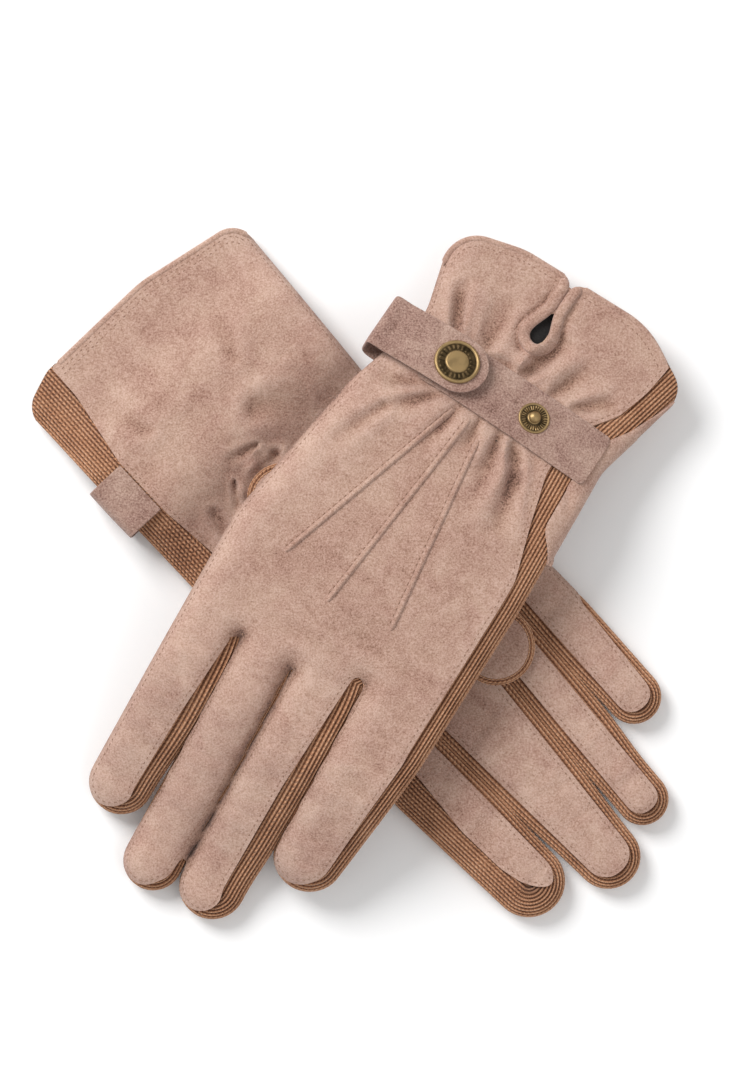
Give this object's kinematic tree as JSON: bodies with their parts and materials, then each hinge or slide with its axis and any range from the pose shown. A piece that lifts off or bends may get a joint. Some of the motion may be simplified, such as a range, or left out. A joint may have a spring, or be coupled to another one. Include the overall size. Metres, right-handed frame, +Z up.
{
  "type": "pair of driving gloves",
  "caption": "Pair of suede driving gloves with ribbed knit sides and snap wrist straps, laid flat and crossed, left glove on top.",
  "frame": {"origin": "middle of the pair's own box, on the table it lies on", "axes": "+Z up from the table; the left glove's fingers point towards -X -Y, the right glove's towards +X -Y"},
  "size_m": [0.2146, 0.2302, 0.0352],
  "materials": {
    "suede": "napped, matte",
    "knit": "ribbed wool knit",
    "lining": "brushed cotton",
    "elastic": "woven elastic",
    "thread": "sewing thread",
    "brass": "antiqued, satin",
    "dark_brass": "darkened, satin"
  },
  "bodies": {
    "right_glove": {"right_back_panel": "suede", "right_palm_panel": "suede", "right_lining": "lining", "right_index_sidewall": "knit", "right_little_sidewall": "knit", "right_index_fourchette": "knit", "right_middle_fourchette": "knit", "right_ring_fourchette": "knit", "right_strap_anchor": "suede", "right_stud_strap": "suede", "right_snap_studs": "dark_brass", "right_stud_posts": "dark_brass", "right_vent_binding": "suede", "right_wrist_elastic": "elastic", "right_back_points": "thread"},
    "right_thumb": {"right_thumb_pad": "suede", "right_thumb_back": "suede", "right_thumb_gusset": "knit"},
    "right_tab": {"right_snap_tab": "suede", "right_snap_cap": "brass", "right_snap_socket": "brass"},
    "left_glove": {"left_back_panel": "suede", "left_palm_panel": "suede", "left_lining": "lining", "left_index_sidewall": "knit", "left_little_sidewall": "knit", "left_index_fourchette": "knit", "left_middle_fourchette": "knit", "left_ring_fourchette": "knit", "left_strap_anchor": "suede", "left_stud_strap": "suede", "left_snap_studs": "dark_brass", "left_stud_posts": "dark_brass", "left_vent_binding": "suede", "left_wrist_elastic": "elastic", "left_back_points": "thread"},
    "left_thumb": {"left_thumb_pad": "suede", "left_thumb_back": "suede", "left_thumb_gusset": "knit"},
    "left_tab": {"left_snap_tab": "suede", "left_snap_cap": "brass", "left_snap_socket": "brass"}
  },
  "joints": [
    {"name": "left_glove_lift", "type": "slide", "parent": "right_glove", "child": "left_glove", "axis": [0, 0, 1], "range_m": [0, 0.15]},
    {"name": "right_thumb_swing", "type": "hinge", "parent": "right_glove", "child": "right_thumb", "pos_m": [-0.02382, 0.02505, 0.01255], "axis": [0, 0, -1], "range_deg": [0, 20]},
    {"name": "right_tab_open", "type": "hinge", "parent": "right_glove", "child": "right_tab", "pos_m": [-0.07402, 0.02609, 0.0016], "axis": [-0.682, 0.7314, 0], "range_deg": [0, 90]},
    {"name": "left_thumb_swing", "type": "hinge", "parent": "left_glove", "child": "left_thumb", "pos_m": [0.02637, 0.02794, 0.01935], "axis": [0, 0, -1], "range_deg": [0, 20]},
    {"name": "left_tab_open", "type": "hinge", "parent": "left_glove", "child": "left_tab", "pos_m": [0.01829, 0.08072, 0.03123], "axis": [-0.5146, -0.7716, 0.3739], "range_deg": [0, 90]}
  ]
}
